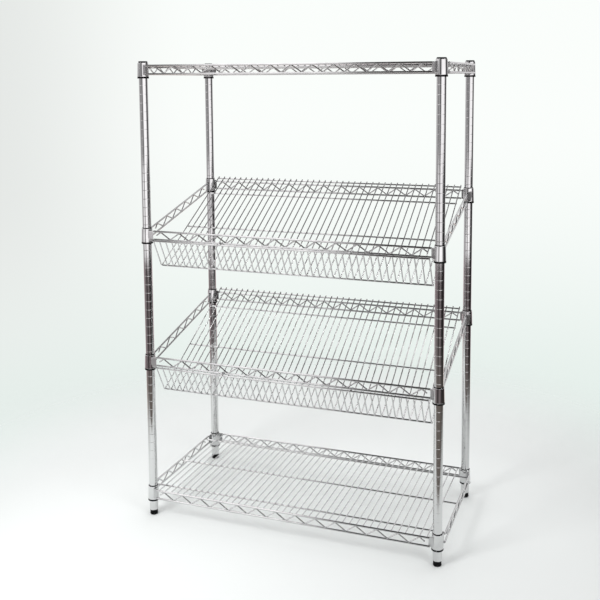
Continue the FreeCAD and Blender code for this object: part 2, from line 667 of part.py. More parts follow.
def addSubpart(label, master, x="0", y="0", z="0"):
    link = doc.addObject("App::Link", label)
    link.Label = label
    link.LinkedObject = master
    link.LinkTransform = True
    place(link, x, y, z)
    subparts.append(link)


def addPosts():
    masters = (("post", makePost()), ("post_cap", makeCap()), ("foot", makeFoot()), ("foot_stud", makeStud()))
    for name, master in masters:
        for corner, sideX, sideY in corners:
            x, y = signed(sideX, "Derived.halfX"), signed(sideY, "Derived.halfY")
            addSubpart(f"{name}_{corner}", master, x, y)
    bush = makeBush()
    addSubpart("foot_bushes", makeCornerSet("FootBushes", lambda corner: bush))


def addTrusses(shelf, height, frontTruss, sideTruss, offset, rise):
    """Front, rear, left and right trusses; rise is how far the rear stands above the front."""
    depth, width = f"(Derived.halfY + {offset})", f"(Derived.halfX + {offset})"
    middle = f"{height} + Sizes.chordMiddle"
    addSubpart(f"{shelf}_front_truss", frontTruss, y=f"-{depth}", z=middle)
    addSubpart(f"{shelf}_rear_truss", frontTruss, y=depth, z=f"{middle} + {rise}")
    addSubpart(f"{shelf}_left_truss", sideTruss, x=f"-{width}", z=f"{middle} + {rise} / 2")
    addSubpart(f"{shelf}_right_truss", sideTruss, x=width, z=f"{middle} + {rise} / 2")


def makeSleeveSets(name, sleeve, rearLift="0"):
    """The sleeves on the left pair of posts and on the right pair."""
    return {side: makeCornerSet(name + side, lambda corner: sleeve, rearLift,
                                [corner for corner in corners if corner[1] == sideX])
            for side, sideX in (("left", -1), ("right", 1))}


def addSleeves(shelf, height, sleeveSets):
    for side, sleeves in sleeveSets.items():
        addSubpart(f"{shelf}_sleeves_{side}", sleeves, z=height)


def addFlatShelves(sleeve):
    sleeveSets = makeSleeveSets("FlatSleeves", sleeve)
    collars = makeFlatCollars()
    lengthX = "Sizes.postSpanX - 2 * Sizes.flatEarReach"
    lengthY = "Sizes.postSpanY - 2 * Sizes.flatEarReach"
    frontTruss = makeTruss("FlatFrontTruss", "X", lengthX, lengthX)
    sideTruss = makeTruss("FlatSideTruss", "Y", lengthY, lengthY)
    wires, rods = makeDeckWires(), makeDeckRods()
    for shelf, height in (("top_shelf", "Derived.topHeight"), ("bottom_shelf", "Derived.bottomHeight")):
        addSleeves(shelf, height, sleeveSets)
        addSubpart(f"{shelf}_collars", collars, z=height)
        addTrusses(shelf, height, frontTruss, sideTruss, "Sizes.trussOffset", "0")
        addSubpart(f"{shelf}_wires", wires, z=height)
        addSubpart(f"{shelf}_rods", rods, z=height)


def addBaskets(sleeve):
    sleeveSets = makeSleeveSets("SlantSleeves", sleeve, "Derived.slantRise")
    collars = makeSlantCollars()
    lengthX = "Sizes.postSpanX - 2 * Sizes.slantEarReach"
    frontTruss = makeTruss("SlantFrontTruss", "X", lengthX, lengthX)
    sideTruss = makeSlantSideTruss()
    floor, lip = makeBasketParts()
    rods, lipRod, clips = makeBasketRods(), makeLipRod(), makeClips()
    for shelf, height in (("upper_basket", "Derived.upperHeight"), ("lower_basket", "Derived.lowerHeight")):
        addSleeves(shelf, height, sleeveSets)
        addSubpart(f"{shelf}_collars", collars, z=height)
        addTrusses(shelf, height, frontTruss, sideTruss, "0", "Derived.slantRise")
        addSubpart(f"{shelf}_floor_wires", floor, z=height)
        addSubpart(f"{shelf}_lip_wires", lip, z=height)
        addSubpart(f"{shelf}_rods", rods, z=height)
        addSubpart(f"{shelf}_lip_rod", lipRod, z=height)
        addSubpart(f"{shelf}_clips", clips, z=height)


def checkAndExport():
    doc.recompute()
    for thing in doc.Objects:
        if {"Invalid", "Error"} & set(thing.State):
            raise RuntimeError(f"{thing.Label} failed: {thing.State}")
    for link in subparts:
        if link.Shape.isNull() or not link.Shape.isValid():
            raise RuntimeError(f"{link.Label} has no valid shape")
    os.makedirs("parts", exist_ok=True)
    for link in subparts:
        link.Shape.exportStep(f"parts/{link.Label}.step")
        print(f"{link.Label}: {len(link.Shape.Solids)} solids, {link.Shape.Volume:.0f} mm3")
    print(f"{len(subparts)} sub-parts")


makeSheet()
makeDerived()
doc.recompute()
addPosts()
sleeve = makeSleeve()
addFlatShelves(sleeve)
addBaskets(sleeve)
checkAndExport()
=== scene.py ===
import json
import math

import bpy
import numpy as np
from mathutils import Matrix, Vector

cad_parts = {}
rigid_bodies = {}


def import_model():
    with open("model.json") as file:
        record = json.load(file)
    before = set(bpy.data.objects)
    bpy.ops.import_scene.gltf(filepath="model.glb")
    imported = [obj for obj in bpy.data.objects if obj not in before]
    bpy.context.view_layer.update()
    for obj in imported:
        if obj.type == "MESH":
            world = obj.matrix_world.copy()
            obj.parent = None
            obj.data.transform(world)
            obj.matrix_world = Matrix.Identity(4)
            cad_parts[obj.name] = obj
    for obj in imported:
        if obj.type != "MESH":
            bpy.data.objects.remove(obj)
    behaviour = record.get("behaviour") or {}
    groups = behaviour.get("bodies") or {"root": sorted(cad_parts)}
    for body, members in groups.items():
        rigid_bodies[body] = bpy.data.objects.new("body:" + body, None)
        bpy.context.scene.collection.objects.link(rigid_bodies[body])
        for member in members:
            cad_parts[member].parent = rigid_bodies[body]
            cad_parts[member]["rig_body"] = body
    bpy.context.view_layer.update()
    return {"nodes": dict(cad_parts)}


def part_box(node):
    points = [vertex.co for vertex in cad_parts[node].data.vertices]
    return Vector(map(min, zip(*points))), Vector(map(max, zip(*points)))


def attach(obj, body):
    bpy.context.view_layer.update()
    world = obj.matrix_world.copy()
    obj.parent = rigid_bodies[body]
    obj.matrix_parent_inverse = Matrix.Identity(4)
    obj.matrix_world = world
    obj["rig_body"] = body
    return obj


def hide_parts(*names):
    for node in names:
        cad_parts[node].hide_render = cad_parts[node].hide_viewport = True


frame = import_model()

# A bakery rack: its posts, collars, sleeves, trusses, decks and baskets are worked out as surfaces
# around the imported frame. In the dictionaries of the pieces, lengths are millimetres and angles are
# degrees; those of the finishes, the stage and the lamps are in metres.
mm = 0.001
upwards, rightwards, backwards = np.eye(3)[[2, 0, 1]]
print("frame loaded:", len(frame["nodes"]), "nodes")


# shader sums

class Flow:
    # a socket that takes part in sums; values go through Math nodes
    def __init__(self, tree, socket=None):
        self.tree, self.socket = tree, socket

    def node(self, kind, settings=None, sockets=None, output=0):
        made = self.tree.nodes.new(kind)
        for name, value in (settings or {}).items():
            if name == "stops":
                fillRamp(made.color_ramp, value)
            else:
                setattr(made, name, value)
        for name, value in (sockets or {}).items():
            if isinstance(value, Flow):
                self.tree.links.new(value.socket, made.inputs[name])
            else:
                made.inputs[name].default_value = value
        return Flow(self.tree, made.outputs[output] if made.outputs else None)

    def math(self, operation, *values):
        return self.node("ShaderNodeMath", {"operation": operation}, dict(enumerate(values)))

    def __add__(self, other):
        return self.math("ADD", self, other)

    def __sub__(self, other):
        return self.math("SUBTRACT", self, other)

    def __rsub__(self, other):
        return self.math("SUBTRACT", other, self)

    def __mul__(self, other):
        return self.math("MULTIPLY", self, other)

    def __truediv__(self, other):
        return self.math("DIVIDE", self, other)

    __radd__, __rmul__ = __add__, __mul__

    def rise(self, low, high):
        # 0 at low, 1 at high and smooth between; where low is the greater, it falls as the value grows
        return self.node("ShaderNodeMapRange", {"interpolation_type": "SMOOTHSTEP"},
                         {"Value": self, "From Min": low, "From Max": high})

    def between(self, start, end):
        # rises over the range start and falls again over the range end
        return self.rise(*start) * (1 - self.rise(*end))

    def ramp(self, *stops):
        return self.node("ShaderNodeValToRGB", {"stops": stops}, {"Fac": self})

    def blend(self, first, second):
        # first where this value is 0, second where it is 1
        return self.node("ShaderNodeMix", {"data_type": "RGBA"}, {0: self, 6: first, 7: second}, 2)


def fillRamp(ramp, stops):
    while len(ramp.elements) < len(stops):
        ramp.elements.new(0.5)
    for element, (place, colour) in zip(ramp.elements, stops):
        element.position = place
        element.color = colour


def grey(level, tint=(1, 1, 1)):
    return tuple(level * share for share in tint) + (1,)


def newTree(owner):
    owner.use_nodes = True
    owner.node_tree.nodes.clear()
    return Flow(owner.node_tree)


# finishes

chromeLook = {
    "pale": (0.68, 0.685, 0.685), "deep": (0.60, 0.60, 0.605), "weldTone": 0.8,
    "clean": 0.05, "hazed": 0.12, "weldRough": 0.28, "cloudRange": (0.35, 0.7),
    "cloudScale": 26, "grainScale": 700, "bumpDepth": 0.00006, "bumpStrength": 0.25,
}


def addNoise(flow, place, scale, detail):
    return flow.node("ShaderNodeTexNoise", {}, {"Vector": place, "Scale": scale, "Detail": detail})


def addShader(flow, sockets, height, depth, strength):
    # a metal or plastic surface whose bump comes from height
    bump = flow.node("ShaderNodeBump", {}, {"Height": height, "Distance": depth, "Strength": strength})
    shader = flow.node("ShaderNodeBsdfPrincipled", {}, {**sockets, "Normal": bump})
    flow.node("ShaderNodeOutputMaterial", {}, {"Surface": shader})


def makeChrome(name, tone=1.0, stretch=(1, 1, 1), look=chromeLook):
    # bright plating: cloudy haze, a fine orange peel, and a duller patch at each weld
    material = bpy.data.materials.new(name)
    flow = newTree(material)
    place = flow.node("ShaderNodeTexCoord", output=3)
    place = flow.node("ShaderNodeMapping", {}, {"Vector": place, "Scale": stretch})
    clouds = addNoise(flow, place, look["cloudScale"], 3)
    grain = addNoise(flow, place, look["grainScale"], 2)
    weld = flow.node("ShaderNodeAttribute", {"attribute_name": "weld"}, output=2)
    cloudy = clouds.rise(*look["cloudRange"])
    colour = cloudy.blend(grey(tone, look["pale"]), grey(tone, look["deep"]))
    colour = weld.blend(colour, grey(tone * look["weldTone"], look["deep"]))
    rough = look["clean"] + cloudy * (look["hazed"] - look["clean"]) + weld * look["weldRough"]
    addShader(flow, {"Base Color": colour, "Roughness": rough, "Metallic": 1},
              grain, look["bumpDepth"], look["bumpStrength"])
    return material


plasticLook = {
    "dark": (0.004, 0.004, 0.0045), "dusty": (0.011, 0.011, 0.012), "dustRange": (0.45, 0.75),
    "smooth": 0.38, "matt": 0.56, "shine": 0.06,
    "cloudScale": 55, "grainScale": 2600, "bumpDepth": 0.00008, "bumpStrength": 0.35,
}


def makePlastic(name, lift=1.0, look=plasticLook):
    # moulded black plastic with a fine spark texture and a little dust
    material = bpy.data.materials.new(name)
    flow = newTree(material)
    place = flow.node("ShaderNodeTexCoord", output=3)
    clouds = addNoise(flow, place, look["cloudScale"], 4)
    grain = addNoise(flow, place, look["grainScale"], 1)
    dusty = clouds.rise(*look["dustRange"])
    colour = dusty.blend(grey(lift, look["dark"]), grey(lift, look["dusty"]))
    rough = look["smooth"] + dusty * (look["matt"] - look["smooth"])
    addShader(flow, {"Base Color": colour, "Roughness": rough, "Specular IOR Level": look["shine"]},
              grain, look["bumpDepth"], look["bumpStrength"])
    return material


zincLook = {
    "dark": 0.42, "pale": 0.62, "tint": (1, 1, 0.97), "smooth": 0.25, "roughSpan": 0.2,
    "spangleScale": 240, "bumpDepth": 0.0001, "bumpStrength": 0.3,
}


def makeZinc(name, look=zincLook):
    # dull plating with a spangle
    material = bpy.data.materials.new(name)
    flow = newTree(material)
    place = flow.node("ShaderNodeTexCoord", output=3)
    spangle = addNoise(flow, place, look["spangleScale"], 3)
    colour = spangle.blend(grey(look["dark"]), grey(look["pale"], look["tint"]))
    rough = look["smooth"] + spangle * look["roughSpan"]
    addShader(flow, {"Base Color": colour, "Roughness": rough, "Metallic": 1},
              spangle, look["bumpDepth"], look["bumpStrength"])
    return material


finishes = {
    "post_chrome": makeChrome("postChrome", stretch=(1, 1, 0.06)),
    "collar_chrome": makeChrome("collarChrome"),
    "wire_chrome": makeChrome("wireChrome", 0.92),
    "sleeve_plastic": makePlastic("sleevePlastic"),
    "cap_plastic": makePlastic("capPlastic", 2.2),
    "bush_plastic": makePlastic("bushPlastic", 1.4),
    "foot_plastic": makePlastic("footPlastic", 0.8),
    "stud_steel": makeZinc("studZinc"),
}
print("finishes:", ", ".join(finishes))


# surfaces

def unit(vectors):
    return vectors / np.linalg.norm(vectors, axis=-1, keepdims=True)


def gridShell(points, hollow=False, weld=0.0):
    # points[copy, row, column]: columns go round and meet; rows meet too if hollow, and otherwise
    # each end row closes on a pole at its middle. Faces are turned round if their volume is negative.
    points = np.asarray(points, float)
    points = points[None] if points.ndim == 3 else points
    copies, rows, columns = points.shape[:3]
    index = np.arange(rows * columns).reshape(rows, columns)
    here, beyond = (index, np.roll(index, -1, 0)) if hollow else (index[:-1], index[1:])
    quads = np.stack((here, np.roll(here, -1, 1), np.roll(beyond, -1, 1), beyond), -1).reshape(-1, 4)
    tris = np.zeros((0, 3), int)
    flat = points.reshape(copies, -1, 3)
    if not hollow:
        poles = points[:, [0, -1]].mean(2)
        flat = np.concatenate((flat, poles), 1)
        first = np.stack((np.roll(index[0], -1), index[0], np.full(columns, rows * columns)), -1)
        last = np.stack((index[-1], np.roll(index[-1], -1), np.full(columns, rows * columns + 1)), -1)
        tris = np.concatenate((first, last))
    halves = np.concatenate((quads[:, :3], quads[:, [0, 2, 3]], tris))
    corners = (flat[0] - flat[0].mean(0))[halves]
    if np.einsum("ij,ij->", corners[:, 0], np.cross(corners[:, 1], corners[:, 2])) < 0:
        quads, tris = quads[:, ::-1], tris[:, ::-1]
    step = np.arange(copies)[:, None, None] * flat.shape[1]
    return {"points": flat.reshape(-1, 3), "quads": (quads + step).reshape(-1, 4),
            "tris": (tris + step).reshape(-1, 3), "weld": np.full(copies * flat.shape[1], weld)}


def loft(path, side, halfSide, halfUp, full=1.0, power=1.0, columns=12, weld=0.0):
    # a section carried along path[copy, row]: side is square to the path's plane, up is square to both,
    # and each ring is side a c|c|^(p-1) + up b s|s|^(p-1) for the cosine c and sine s of an even turn;
    # a and b are halfSide and halfUp, each times full, and p is power
    path = path[None] if path.ndim == 2 else path
    up = np.cross(unit(np.gradient(path, axis=1)), side)
    turn = 2 * np.pi * (np.arange(columns) + 0.5) / columns
    cosine, sine = np.cos(turn), np.sin(turn)
    across = np.sign(cosine) * np.abs(cosine) ** power
    rise = np.sign(sine) * np.abs(sine) ** power
    halfSide, halfUp, full = (np.broadcast_to(value, path.shape[1]) for value in (halfSide, halfUp, full))
    ring = (np.asarray(side) * (across * (halfSide * full)[:, None])[..., None]
            + up[:, :, None] * (rise * (halfUp * full)[:, None])[..., None])
    return gridShell(path[:, :, None] + ring, weld=weld)


def cutEnds(path, radius, share=0.62):
    # sheared wire ends: the ring is share of its size at the end and whole a third of a radius in,
    # with one ring between them on the rounded edge and one after it that keeps the wire straight
    path = path[None] if path.ndim == 2 else path
    steps = radius * np.array([0.0, 0.1, 0.36, 0.6])[:, None]
    start = path[:, :1] + unit(path[:, 1:2] - path[:, :1]) * steps
    finish = path[:, -1:] + unit(path[:, -2:-1] - path[:, -1:]) * steps[::-1]
    edge = [share, 0.5 + share / 2, 1.0, 1.0]
    full = np.array(edge + [1.0] * (path.shape[1] - 2) + edge[::-1])
    return np.concatenate((start, path[:, 1:-1], finish), 1), full


def wire(path, side, radius, columns=12):
    path, full = cutEnds(np.asarray(path, float), radius)
    return loft(path, side, radius, radius, full, columns=columns)


def turned(profile, columns, hollow=False, middle=(0, 0, 0)):
    # a profile of radius and height turned once about the upright axis
    radius, height = np.asarray(profile, float).T
    turn = 2 * np.pi * np.arange(columns) / columns
    points = np.stack((np.outer(radius, np.cos(turn)), np.outer(radius, np.sin(turn)),
                       np.repeat(height[:, None], columns, 1)), -1)
    return gridShell(points + np.asarray(middle, float), hollow)


def arcSweep(profile, start, end, rows, middle):
    # a closed profile of radius and height carried round part of a turn, its ends closed
    radius, height = np.asarray(profile, float).T
    turn = np.radians(np.linspace(start, end, rows))
    points = np.stack((np.outer(np.cos(turn), radius), np.outer(np.sin(turn), radius),
                       np.repeat(height[None], rows, 0)), -1)
    return gridShell(points + np.asarray(middle, float))


def beads(centres, sizes, columns=8, rows=4):
    # weld nuggets: small ellipsoids, sizes[x, y, z] from the middle, one at each centre
    lift = np.linspace(-np.pi / 2, np.pi / 2, rows + 2)[1:-1]
    turn = 2 * np.pi * np.arange(columns) / columns
    ball = np.stack((np.outer(np.cos(lift), np.cos(turn)), np.outer(np.cos(lift), np.sin(turn)),
                     np.repeat(np.sin(lift)[:, None], columns, 1)), -1)
    centres = np.asarray(centres, float).reshape(-1, 1, 1, 3)
    return gridShell(centres + ball * np.asarray(sizes, float), weld=1.0)


def roundedLoop(corners, radius, steps=4):
    # a closed outline of radius and height whose corners are arcs: each arc starts where its side is
    # setback = r tan(turn / 2) short of the corner and bends towards the next side, and a point on
    # the straight a third of r before and after it keeps the long sides flat
    corners = np.asarray(corners, float)
    before, after = unit(corners - np.roll(corners, 1, 0)), unit(np.roll(corners, -1, 0) - corners)
    cosine = np.clip((before * after).sum(-1), -1, 1)
    turn = np.arccos(cosine)
    inward = unit(after - before * cosine[:, None])
    share = np.linspace(0, 1, steps)[None, :, None] * turn[:, None, None]
    start = corners - before * (radius * np.tan(turn / 2))[:, None]
    reach = np.broadcast_to(radius, turn.shape)[:, None, None]
    arc = (start[:, None] + reach * np.sin(share) * before[:, None]
           + reach * (1 - np.cos(share)) * inward[:, None])
    lead = arc[:, :1] - reach * before[:, None] / 3
    tail = arc[:, -1:] + reach * after[:, None] / 3
    return np.concatenate((lead, arc, tail), 1).reshape(-1, 2)


def pieceName(node):
    first, *rest = node.split("_")
    return first + "".join(word.capitalize() for word in rest)


def makePiece(nodes, shells, slotName, name=None, sharpAngle=42):
    # joins the shells in one mesh that stands for the nodes and rides on their body
    counts = np.cumsum([0] + [len(shell["points"]) for shell in shells])
    faces = []
    for shell, start in zip(shells, counts):
        faces += (shell["quads"] + start).tolist() + (shell["tris"] + start).tolist()
    mesh = bpy.data.meshes.new(name or pieceName(nodes[0]))
    mesh.from_pydata(np.concatenate([shell["points"] for shell in shells]) * mm, [], faces)
    weld = np.concatenate([shell["weld"] for shell in shells]).astype(np.float32)
    mesh.attributes.new("weld", "FLOAT", "POINT").data.foreach_set("value", weld)
    mesh.shade_smooth()
    mesh.set_sharp_from_angle(angle=math.radians(sharpAngle))
    mesh.materials.append(finishes[slotName])
    piece = bpy.data.objects.new(mesh.name, mesh)
    bpy.context.scene.collection.objects.link(piece)
    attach(piece, frame["nodes"][nodes[0]]["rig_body"])
    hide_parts(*nodes)


def nodeBox(node):
    # lowest corner, highest corner and middle of a node, in millimetres
    low, high = (np.array(corner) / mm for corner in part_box(node))
    return low, high, (low + high) / 2


corners = {"front_left": (-1, -1), "front_right": (1, -1), "rear_left": (-1, 1), "rear_right": (1, 1)}
postSpots = {corner: nodeBox("post_" + corner)[2][:2] for corner in corners}
halfX, halfY = np.abs(postSpots["front_left"])
shelves = ("bottom_shelf", "lower_basket", "upper_basket", "top_shelf")

# every sleeve holds on to a groove of its post, and a basket's rear sleeves stand four grooves above
# its front ones
groovePitch = 25.4
basketRise = 4 * groovePitch

sleeveLook = {
    "low": -5.5, "high": 42.0, "bore": 12.72, "foot": 14.97, "head": 13.56,
    "flange": 16.6, "flangeHeight": 4.5, "ridge": 0.4, "ridgeWidth": 1.6, "gap": 2.7,
    "round": 0.35, "roundShares": (0.4, 1, 0.6, 0.2, 1, 0.4, 0.3, 0.3, 0.3, 0.3), "rows": 25,
}


def levelAt(shelf, sideY):
    # a shelf's level at the front or the rear, from which its sleeves and collars are measured
    low, high, _ = nodeBox(shelf + "_sleeves_left")
    return low[2] - sleeveLook["low"] if sideY < 0 else high[2] - sleeveLook["high"]


# posts, caps and feet

postLook = {
    "outside": 12.7, "bore": 11.2, "edge": 0.5, "columns": 44,
    "grooveWidth": 1.8, "grooveDepth": 0.07, "grooveRows": 7, "grooveReach": 0.7, "endMargin": 2.0,
}


def postProfile(low, high, look=postLook):
    # the outside goes up with a bell-shaped dip, half a cosine each way, at every groove, and the bore
    # closes it; a point beyond each side of a dip keeps the wall straight between the dips
    first = math.ceil((low + look["endMargin"]) / groovePitch)
    last = (high - look["endMargin"]) // groovePitch
    grooves = np.arange(first, last + 1)
    dip = np.linspace(-0.5, 0.5, look["grooveRows"])
    across = np.concatenate(([-look["grooveReach"]], dip, [look["grooveReach"]]))
    heights = (grooves[:, None] * groovePitch + across * look["grooveWidth"]).ravel()
    bell = (1 + np.cos(2 * np.pi * np.clip(across, -0.5, 0.5))) / 2
    dips = np.tile(look["grooveDepth"] * bell, len(grooves))
    outside, edge = look["outside"], look["edge"]
    wall = np.stack((outside - dips, heights), -1)
    start = [(outside - edge, low), (outside, low + edge), (outside, low + 2 * edge)]
    finish = [(outside, high - 2 * edge), (outside, high - edge), (outside - edge, high),
              (look["bore"], high), (look["bore"], low)]
    return np.concatenate((start, wall, finish))


for corner, (x, y) in postSpots.items():
    low, high, _ = nodeBox("post_" + corner)
    tube = turned(postProfile(low[2], high[2]), postLook["columns"], True, (x, y, 0))
    makePiece(["post_" + corner], [tube], "post_chrome")
print("posts")

capLook = {
    "radius": 12.7, "edge": 0.9, "columns": 44,
    "plug": 11.15, "plugDepth": 12, "plugEdge": 0.6, "core": 0.8,
    "dimple": 2.2, "dimpleEdge": 0.4, "dimpleDepth": 0.3, "gate": 0.5, "gateDepth": 0.35,
}


def capProfile(top, seat, look=capLook):
    # a plug, a rim over the tube's edge, a rounded edge and a shallow gate mark in the middle
    edge = np.radians(np.linspace(0, 90, 5))
    rim = np.stack((look["radius"] - look["edge"] * (1 - np.cos(edge)),
                    top - look["edge"] * (1 - np.sin(edge))), -1)
    plug, end = look["plug"], seat - look["plugDepth"]
    below = [(look["core"], end), (plug - look["plugEdge"], end), (plug, end + look["plugEdge"]),
             (plug, seat), (look["radius"], seat)]
    gate = [(look["dimple"] + look["dimpleEdge"], top), (look["dimple"], top - look["dimpleDepth"]),
            (look["gate"], top - look["gateDepth"])]
    return np.concatenate((below, rim, gate))


for corner, (x, y) in postSpots.items():
    top = nodeBox("post_cap_" + corner)[1][2]
    seat = nodeBox("post_" + corner)[1][2]
    cap = turned(capProfile(top, seat), capLook["columns"], middle=(x, y, 0))
    makePiece(["post_cap_" + corner], [cap], "cap_plastic")

footLook = {
    "radius": 11.75, "sole": 3.0, "waist": 0.35, "edge": 0.6, "edgeMiddle": 0.2,
    "hole": 4.8, "seat": 7.6, "core": 0.8, "columns": 44,
}


def footProfile(height, look=footLook):
    # a moulded foot: rounded sole, slightly waisted side, small upper edge, and the screw's seat
    sole = np.radians(np.linspace(-90, 0, 6))
    radius, soleRound = look["radius"], look["sole"]
    lower = np.stack((radius - soleRound + soleRound * np.cos(sole),
                      soleRound + soleRound * np.sin(sole)), -1)
    share = np.linspace(0, 1, 7)[1:]
    side = np.stack((radius - look["waist"] * np.sin(np.pi * share),
                     soleRound + share * (height - soleRound - look["edge"])), -1)
    upper = [(radius - look["edgeMiddle"], height - look["edgeMiddle"]), (radius - look["edge"], height),
             (look["hole"], height), (look["hole"], look["seat"]), (look["core"], look["seat"])]
    return np.concatenate(([(look["core"], 0.0)], lower, side, upper))


for corner, (x, y) in postSpots.items():
    top = nodeBox("foot_" + corner)[1][2]
    foot = turned(footProfile(top), footLook["columns"], middle=(x, y, 0))
    makePiece(["foot_" + corner], [foot], "foot_plastic")
print("caps and feet")


# sleeves and collars

def sleeveProfile(look=sleeveLook):
    # a tapered half shell with a small foot flange and, inside, the ridge that lies in the next groove
    # above the level
    bore, low, high, ridge = look["bore"], look["low"], look["high"], look["bore"] - look["ridge"]
    under, over = groovePitch - look["ridgeWidth"] / 2, groovePitch + look["ridgeWidth"] / 2
    step = low + look["flangeHeight"]
    shoulder = look["foot"] - (look["foot"] - look["head"]) * look["flangeHeight"] / (high - low)
    outline = ((bore, low), (look["flange"], low), (look["flange"], step), (shoulder, step),
               (look["head"], high), (bore, high), (bore, over), (ridge, over), (ridge, under),
               (bore, under))
    return roundedLoop(outline, look["round"] * np.array(look["roundShares"]), 3)


for shelf in shelves:
    for side, sideX in (("left", -1), ("right", 1)):
        shells = []
        for sideY in (-1, 1):
            middle = (sideX * halfX, sideY * halfY, levelAt(shelf, sideY))
            for start in (0, 180):
                shells.append(arcSweep(sleeveProfile(), start - 90 + sleeveLook["gap"],
                                       start + 90 - sleeveLook["gap"], sleeveLook["rows"], middle))
        makePiece([f"{shelf}_sleeves_{side}"], shells, "sleeve_plastic")

collarLook = {
    "low": -1.0, "high": 40.0, "foot": 16.5, "head": 15.25, "wall": 1.6,
    "round": 0.7, "roundShares": (0.6, 1.2, 1.2, 0.6), "columns": 56,
    "earThickness": 2.0, "earRoot": 0.9, "earLow": 4.6, "earHigh": 34.0, "earWeld": 0.8,
    "earFull": (1, 1, 1, 1, 1, 1, 1, 0.97, 0.9), "earPower": 0.3, "earColumns": 28,
    "flatPlan": ((8.5, 12.4), (13.0, 13.2), (17.0, 13.0), (21.5, 12.4)),
    "slantPlan": ((9.0, 11.0), (13.0, 8.5), (17.0, 5.5), (21.5, 2.5)),
}


def collarRing(middle, look=collarLook):
    wall = look["wall"]
    outline = ((look["foot"] - wall, look["low"]), (look["foot"], look["low"]),
               (look["head"], look["high"]), (look["head"] - wall, look["high"]))
    rounds = look["round"] * np.array(look["roundShares"])
    return turned(roundedLoop(outline, rounds, 4), look["columns"], True, middle)


def collarEar(middle, ahead, outward, plan, slope=0.0, look=collarLook):
    # an upright plate that leaves the ring, its plan given as distances ahead and outward from the
    # post: thick at its root, thinning as a cube, its free end rounded; slope is its climb ahead
    share = np.linspace(0, 1, len(look["earFull"]))
    plan = np.asarray(plan, float)
    knots = np.linspace(0, 1, len(plan))
    forth, out = np.interp(share, knots, plan[:, 0]), np.interp(share, knots, plan[:, 1])
    level = (look["earLow"] + look["earHigh"]) / 2 + forth * slope
    path = middle + ahead * forth[:, None] + outward * out[:, None] + upwards * level[:, None]
    thick = look["earThickness"] / 2 * (1 + look["earRoot"] * (1 - share) ** 3)
    return loft(path, upwards, (look["earHigh"] - look["earLow"]) / 2, thick, look["earFull"],
                look["earPower"], look["earColumns"], look["earWeld"])


for shelf in shelves:
    flat = shelf.endswith("shelf")
    shells = []
    for sideX, sideY in corners.values():
        middle = np.array([sideX * halfX, sideY * halfY, levelAt(shelf, sideY)])
        shells.append(collarRing(middle))
        plan = collarLook["flatPlan" if flat else "slantPlan"]
        slope = 0.0 if flat else -sideY * basketRise / (2 * halfY)
        shells.append(collarEar(middle, -sideX * rightwards, sideY * backwards, plan))
        shells.append(collarEar(middle, -sideY * backwards, sideX * rightwards, plan, slope))
    makePiece([shelf + "_collars"], shells, "collar_chrome")
print("sleeves and collars")


# trusses

trussLook = {
    "chord": 2.8, "spacing": 24.0, "reach": 4.0, "slantReach": -2.5, "chordColumns": 14,
    "wave": 2.0, "pitch": 60.0, "apex": 9.0, "bend": 5.0, "guard": 1.0, "bendRows": 7, "waveColumns": 10,
    "weld": (5.0, 2.2, 1.5), "weldOut": 0.6,
}


def wavePath(half, look=trussLook):
    # bends of radius r stand at even steps, high and low by turns: each is an arc about a centre r inside
    # its apex, from minus to plus the slope at which the straight runs leave; a point on the straight
    # before and after each bend keeps the runs straight, and the wire ends at mid-height
    step, inner = look["pitch"] / 2, look["apex"] - look["bend"]
    count = int((2 * half) / look["pitch"] - 0.5)
    slope = math.atan2(2 * inner, step) + math.asin(2 * look["bend"] / math.hypot(step, 2 * inner))
    number = np.arange(2 * count + 1)
    places = (number - count) * step
    sign = np.where(number % 2 == 0, 1, -1)[:, None]
    lean = np.linspace(-slope, slope, look["bendRows"])
    arc = look["bend"] * np.sin(lean), inner + look["bend"] * np.cos(lean)
    guard = look["guard"] * math.cos(slope), look["guard"] * math.sin(slope)
    along = places[:, None] + np.concatenate(([arc[0][0] - guard[0]], arc[0], [arc[0][-1] + guard[0]]))
    rise = sign * np.concatenate(([arc[1][0] - guard[1]], arc[1], [arc[1][-1] - guard[1]]))
    along = np.concatenate(([places[0] - step / 2], along.ravel(), [places[-1] + step / 2]))
    rise = np.concatenate(([0.0], rise.ravel(), [0.0]))
    return along, rise, places, sign[:, 0]


def trussShells(half, middle, along, tilt, cut, look=trussLook):
    # two long wires and a bent one in the plane of along and upwards, turned by tilt about its normal;
    # cut shifts each long wire's ends along it, so that a slanting truss ends upright
    normal = np.cross(along, upwards)
    ahead = along * math.cos(tilt) + upwards * math.sin(tilt)
    over = upwards * math.cos(tilt) - along * math.sin(tilt)
    shells = []
    for side in (-1, 1):
        lift = side * look["spacing"] / 2
        ends = np.array([-half, half])[:, None] / math.cos(tilt) + cut * lift
        path = middle + ahead * ends + over * lift
        shells.append(wire(path, normal, look["chord"], look["chordColumns"]))
    run, rise, places, sign = wavePath(half / math.cos(tilt), look)
    path = middle + ahead * run[:, None] + over * rise[:, None]
    shells.append(wire(path, normal, look["wave"], look["waveColumns"]))
    weld = look["weld"]
    spots = middle + ahead * places[:, None] + over * (sign * (look["apex"] + look["weldOut"]))[:, None]
    sizes = np.abs(along) * weld[0] + np.abs(normal) * weld[1] + upwards * (weld[2] + abs(tilt) * weld[0])
    shells.append(beads(spots, sizes))
    return shells


